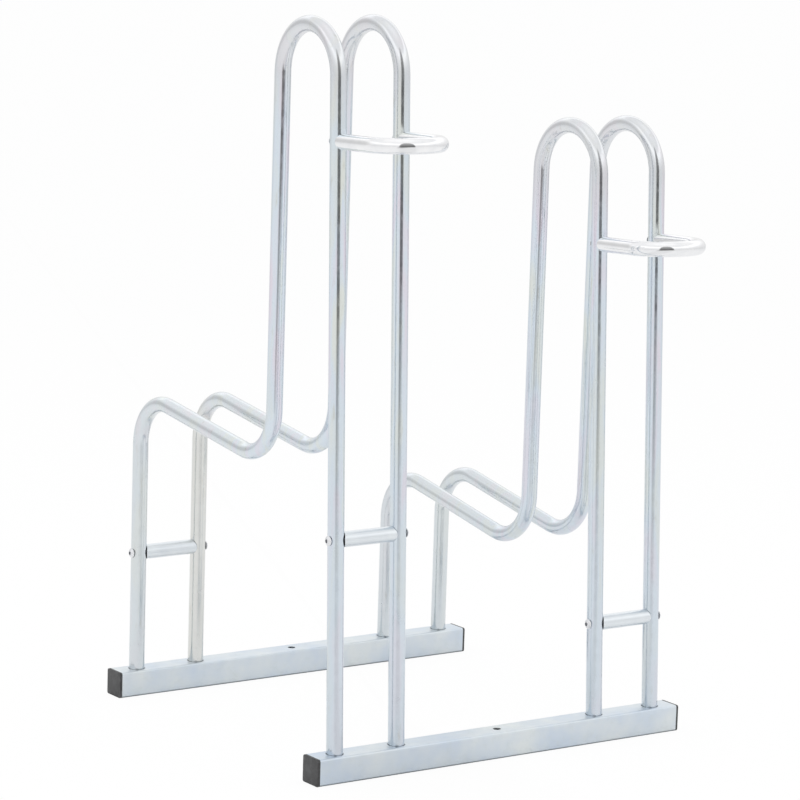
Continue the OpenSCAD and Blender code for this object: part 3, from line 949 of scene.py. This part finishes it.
# The socket lining's darker greys are partly painted shade for the recess
socket_shade_finish = screw_zinc_plate("unplated_and_shaded_socket_steel", "#b2b3b8", "#c6c7ca")
dome_h = BUTTON_H - BUTTON_RIM
dome_r = (BUTTON_R**2 + dome_h**2) / (2 * dome_h)
dome_a = math.asin(BUTTON_R / dome_r)
button_profile = [(0, -BUTTON_H)]
for k in range(1, DOME_STEPS + 1):
    a = dome_a * k / DOME_STEPS
    button_profile.append((dome_r * math.sin(a), dome_r - BUTTON_H - dome_r * math.cos(a)))
button_profile += [
    (BUTTON_R, -BUTTON_EDGE), (BUTTON_R - BUTTON_EDGE, 0), (SCREW_R, 0),
    (SCREW_R, SIDE_SCREW_LEN - TIP_LEN), (SCREW_R - TIP_BEVEL, SIDE_SCREW_LEN),
    (0, SIDE_SCREW_LEN),
]
button = turned("button_blank", button_profile)
for which, spot in bar_spots.items():
    ends = [
        spot @ Matrix.Translation((x, 0, 0)) @ Matrix.Rotation(turn, 4, "Z")
        @ Matrix.Translation((-SEAT, 0, 0))
        for x, turn in ((-HALF_PITCH, 0), (HALF_PITCH, math.pi))
    ]
    screws(f"screws_{which}_crossbar", ends, button, BUTTON_H, f"{which}_crossbar_screws")
for place, x in PLACE_X.items():
    spot = on_front_leg(place, x, GUARD_Z[place])
    ends = [
        spot @ Matrix.Translation((dx, 0, 0)) @ Matrix.Rotation(-math.pi / 2, 4, "Z")
        @ Matrix.Translation((-SEAT, 0, 0))
        for dx in (-HALF_PITCH, HALF_PITCH)
    ]
    screws(f"screws_{place}_hoop", ends, button, BUTTON_H, f"{place}_guard_hoop_screws")
bpy.data.objects.remove(button)


# Foot screws
# Countersunk screws with a hexagon socket, from below through the rails' undersides into the
# threaded inserts in the legs' feet. Zinc plated steel.

FOOT_SCREW_LEN = 20
RIM_BEVEL = 0.3
RIM_DEPTH = 0.15

csk_profile = [
    (0, 0), (HEAD_R - RIM_BEVEL, 0), (HEAD_R, RIM_DEPTH), (SCREW_R, HEAD_R - SCREW_R),
    (SCREW_R, FOOT_SCREW_LEN - TIP_LEN), (SCREW_R - TIP_BEVEL, FOOT_SCREW_LEN),
    (0, FOOT_SCREW_LEN),
]
csk = turned("countersunk_blank", csk_profile)
for end in RAIL_Y:
    spots = [
        foot @ Matrix.Translation((0, 0, -RAIL_WALL - lift + HEAD_SINK))
        @ Matrix.Rotation(-math.pi / 2, 4, "Y")
        for foot, lift in foot_places(end)
    ]
    screws(f"screws_{end}_feet", spots, csk, 0, f"{end}_foot_screws")
bpy.data.objects.remove(csk)


# Threaded inserts
# Turned steel slugs pressed into the ends of the crossbars, the guard hoops and the legs' feet,
# where they can't be seen once the rack is together.


def turned_steel():
    # Bare turned steel: darker and warmer than the plating, with fine rings from the lathe.
    material, tree = new_material("turned_bare_steel")
    where = add(tree, "ShaderNodeTexCoord").outputs["Object"]
    rings = add(tree, "ShaderNodeTexNoise", {
        "Vector": where, "Scale": cycles_per(0.8), "Detail": 2,
    })
    tone = add(tree, "ShaderNodeValToRGB", {"Fac": rings.outputs["Fac"]})
    tone.color_ramp.elements[0].color = srgb("#9b9c9e")
    tone.color_ramp.elements[1].color = srgb("#b4b4b3")
    skin = add(tree, "ShaderNodeBsdfPrincipled", {
        "Base Color": tone.outputs["Color"], "Metallic": 1.0, "Roughness": 0.35,
    })
    add(tree, "ShaderNodeOutputMaterial", {"Surface": skin.outputs["BSDF"]})
    return material


insert_finish = turned_steel()
for cad_name, cad_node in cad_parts.items():
    if cad_name.endswith("_inserts"):
        for spare in cad_node.material_slots:
            spare.material = insert_finish


# Studio floor
# White paper all round, which the camera sees as plain white with the rack's soft shadow. The
# tubes' reflections see the paper's painted shade: a little darker farther off, and an aisle
# towards the doorway darker still, which is the fade of the dark lines in the tubes.

FLOOR_HALF = 15000
FLOOR_Z = -0.2
FLOOR_GLOW = 0.94
CAMERA_AZ = math.radians(-34.7487316)
AISLE_TURN = math.radians(12)
AISLE_SIDE = (0.45, 0.26)
AISLE_SLANT = 2.5
AISLE_START = 2700
AISLE_END = 4500
AISLE_SHADE = (0.1, 0.56)

floor_work = bmesh.new()
bmesh.ops.create_grid(
    floor_work, x_segments=1, y_segments=1, size=FLOOR_HALF,
    matrix=Matrix.Translation((0, 0, FLOOR_Z)),
)
floor = to_piece("studio_floor", to_mesh("studio_floor", floor_work))
floor_finish, tree = new_material("white_studio_paper")
where = add(tree, "ShaderNodeTexCoord").outputs["Object"]
facing = add(tree, "ShaderNodeMapping", {
    "Vector": where, "Rotation": (0, 0, -CAMERA_AZ - math.pi / 2), "Scale": (0.25, 0.25, 0.25),
})
depth = add(tree, "ShaderNodeTexGradient", {"Vector": facing.outputs["Vector"]})
# Painted shade: the paper a little darker farther off, seen in reflections
tone = add(tree, "ShaderNodeValToRGB", {"Fac": depth.outputs["Fac"]})
tone.color_ramp.elements[0].position = 0.05
tone.color_ramp.elements[0].color = srgb("#f8f8f8")
tone.color_ramp.elements[1].position = 0.8
tone.color_ramp.elements[1].color = srgb("#e8e9ea")
# Painted shade: a darker aisle towards the doorway, seen in the tubes' reflections
aisle = add(tree, "ShaderNodeMapping", {
    "Vector": where, "Rotation": (0, 0, math.pi / 2 - CAMERA_AZ - AISLE_TURN),
})
aisle = add(tree, "ShaderNodeSeparateXYZ", {"Vector": aisle.outputs["Vector"]})
ahead = add(tree, "ShaderNodeMath", {0: aisle.outputs["X"], 1: 0.01}, operation="MAXIMUM")
aside = add(tree, "ShaderNodeMath", {
    0: aisle.outputs["Y"], 1: ahead.outputs[0],
}, operation="DIVIDE")
aside = add(tree, "ShaderNodeMath", {0: aside.outputs[0]}, operation="ABSOLUTE")
within = add(tree, "ShaderNodeMapRange", {
    "Value": aside.outputs[0], "From Min": AISLE_SIDE[0], "From Max": AISLE_SIDE[1],
})
sideways = add(tree, "ShaderNodeMath", {
    0: aisle.outputs["Y"], 1: AISLE_SLANT,
}, operation="MULTIPLY")
slanted = add(tree, "ShaderNodeMath", {
    0: aisle.outputs["X"], 1: sideways.outputs[0],
}, operation="SUBTRACT")
deeper = add(tree, "ShaderNodeMapRange", {
    "Value": slanted.outputs[0], "From Min": AISLE_START * MM, "From Max": AISLE_END * MM,
    "To Min": AISLE_SHADE[0], "To Max": AISLE_SHADE[1],
}, interpolation_type="SMOOTHSTEP")
dimmed = add(tree, "ShaderNodeMath", {
    0: within.outputs["Result"], 1: deeper.outputs["Result"],
}, operation="MULTIPLY")
shaded = add(tree, "ShaderNodeMix", {
    "Factor": dimmed.outputs[0], "A": tone.outputs["Color"], "B": (0, 0, 0, 1),
}, data_type="RGBA")
ray = add(tree, "ShaderNodeLightPath").outputs
matt = add(tree, "ShaderNodeBsdfDiffuse", {"Color": result(shaded)})
glow = add(tree, "ShaderNodeEmission", {"Color": (1, 1, 1, 1), "Strength": 1.0})
share = add(tree, "ShaderNodeMath", {
    0: ray["Is Camera Ray"], 1: FLOOR_GLOW,
}, operation="MULTIPLY")
paper = add(tree, "ShaderNodeMixShader", {
    "Fac": share.outputs[0], 1: matt.outputs[0], 2: glow.outputs[0],
})
underside = add(tree, "ShaderNodeNewGeometry").outputs["Backfacing"]
clear = add(tree, "ShaderNodeBsdfTransparent")
paper = add(tree, "ShaderNodeMixShader", {
    "Fac": underside, 1: paper.outputs[0], 2: clear.outputs[0],
})
add(tree, "ShaderNodeOutputMaterial", {"Surface": paper.outputs[0]})
floor.data.materials.append(floor_finish)


# Doorway
# A dark arched opening behind the camera, darkest at its foot. It is never in view and lights
# nothing, and shows only as the dark line down every polished upright.

DOOR_NEAR = 6000
DOOR_STEPS = 24
DOOR_FROM = -7
DOOR_SPREAD = 38
DOOR_SIDE_H = 300
DOOR_CROWN_H = 7200
DOOR_TONE_Z = (500, 7000)
DOOR_TONE = (0.15, 0.6)

door_work = bmesh.new()
low_edge = []
high_edge = []
for k in range(DOOR_STEPS + 1):
    a = CAMERA_AZ + math.radians(DOOR_FROM + DOOR_SPREAD * k / DOOR_STEPS)
    off_middle = k / (DOOR_STEPS / 2) - 1
    crown = DOOR_CROWN_H * math.sqrt(max(0, 1 - off_middle**2))
    for edge, z in ((low_edge, 0), (high_edge, DOOR_SIDE_H + crown)):
        edge.append(door_work.verts.new((DOOR_NEAR * math.sin(a), -DOOR_NEAR * math.cos(a), z)))
for i in range(DOOR_STEPS):
    door_work.faces.new((low_edge[i], low_edge[i + 1], high_edge[i + 1], high_edge[i]))
door = to_piece("dark_doorway", to_mesh("dark_doorway", door_work))
door_finish, tree = new_material("dark_doorway_cloth")
where = add(tree, "ShaderNodeTexCoord").outputs["Object"]
height = add(tree, "ShaderNodeSeparateXYZ", {"Vector": where})
tone = add(tree, "ShaderNodeMapRange", {
    "Value": height.outputs["Z"],
    "From Min": DOOR_TONE_Z[0] * MM, "From Max": DOOR_TONE_Z[1] * MM,
    "To Min": DOOR_TONE[0], "To Max": DOOR_TONE[1],
})
dusk = add(tree, "ShaderNodeEmission", {"Strength": tone.outputs["Result"]})
add(tree, "ShaderNodeOutputMaterial", {"Surface": dusk.outputs[0]})
door.data.materials.append(door_finish)
door.visible_camera = False
door.visible_diffuse = False
door.visible_shadow = False


# Room and light
# White walls with a brighter band half way up and one dimmer corner, and a soft box overhead. Only
# reflections see the bands, and all else is lit by an even white.

WALL_BRIGHTEST = 1.3
WALL_BANDS = (
    (0, 0.86), (0.2, 0.95), (0.36, 1.1), (0.48, 1.3), (0.58, 1.3), (0.68, 1.02), (0.88, 1.04),
    (1, 1.15),
)
CORNER_WAY = (-0.48, 0.81, 0.33)
CORNER_EDGE = 0.88
CORNER_DIM = 0.72
LAMP_W = 2400
LAMP_Z = 2600
LAMP_WATTS = 8

world = bpy.data.worlds.new("white_studio")
bpy.context.scene.world = world
world.use_nodes = True
tree = world.node_tree
tree.nodes.clear()
ray = add(tree, "ShaderNodeLightPath").outputs
way = add(tree, "ShaderNodeTexCoord").outputs["Generated"]
height = add(tree, "ShaderNodeSeparateXYZ", {"Vector": way})
room = add(tree, "ShaderNodeValToRGB", {"Fac": height.outputs["Z"]})
shades = room.color_ramp.elements
for height_share, _ in WALL_BANDS[1:-1]:
    shades.new(height_share)
for stop, (_, level) in zip(shades, WALL_BANDS):
    stop.color = [level / WALL_BRIGHTEST] * 3 + [1]
corner = add(tree, "ShaderNodeVectorMath", {0: way, 1: CORNER_WAY}, operation="DOT_PRODUCT")
strength = add(tree, "ShaderNodeMapRange", {
    "Value": corner.outputs["Value"], "From Min": CORNER_EDGE,
    "To Min": WALL_BRIGHTEST, "To Max": CORNER_DIM * WALL_BRIGHTEST,
})
mirrored = add(tree, "ShaderNodeBackground", {
    "Color": room.outputs["Color"], "Strength": strength.outputs["Result"],
})
plain = add(tree, "ShaderNodeBackground", {"Color": (1, 1, 1, 1), "Strength": 1.0})
either = add(tree, "ShaderNodeMath", {
    0: ray["Is Glossy Ray"], 1: ray["Is Transmission Ray"],
}, operation="MAXIMUM")
sky = add(tree, "ShaderNodeMixShader", {
    "Fac": either.outputs[0], 1: plain.outputs[0], 2: mirrored.outputs[0],
})
add(tree, "ShaderNodeOutputWorld", {"Surface": sky.outputs[0]})

lamp_data = bpy.data.lights.new("overhead_softbox", "AREA")
lamp_data.shape = "RECTANGLE"
lamp_data.size = LAMP_W * MM
lamp_data.size_y = LAMP_W * MM
lamp_data.energy = LAMP_WATTS
lamp = bpy.data.objects.new("overhead_softbox", lamp_data)
lamp.location = (0, 0, LAMP_Z * MM)
lamp.visible_glossy = False
bpy.context.collection.objects.link(lamp)


# Camera
# The photograph's view, worked out from the rack's own straight lines: a long lens from the
# front left and a little above.

CAMERA_EL = math.radians(9.79283599)
CAMERA_ROLL = math.radians(1.78303336)
CAMERA_AT = (-2248.54529, -3243.81371, 1046.77462)
LENS = 158.4158864
FILM_W = 36

camera_data = bpy.data.cameras.new("photo_view")
camera_data.sensor_width = FILM_W
camera_data.lens = LENS
camera_data.clip_end = 100
camera = bpy.data.objects.new("photo_view", camera_data)
back = Vector((
    math.sin(CAMERA_AZ) * math.cos(CAMERA_EL), -math.cos(CAMERA_AZ) * math.cos(CAMERA_EL),
    math.sin(CAMERA_EL),
))
right = Vector((math.cos(CAMERA_AZ), math.sin(CAMERA_AZ), 0))
up = back.cross(right)
rightward = math.cos(CAMERA_ROLL) * right + math.sin(CAMERA_ROLL) * up
upward = -math.sin(CAMERA_ROLL) * right + math.cos(CAMERA_ROLL) * up
turned_to = Matrix((rightward, upward, back)).transposed().to_4x4()
camera.matrix_world = Matrix.Translation(Vector(CAMERA_AT) * MM) @ turned_to
bpy.context.collection.objects.link(camera)
bpy.context.scene.camera = camera
bpy.context.scene.view_settings.view_transform = "Standard"
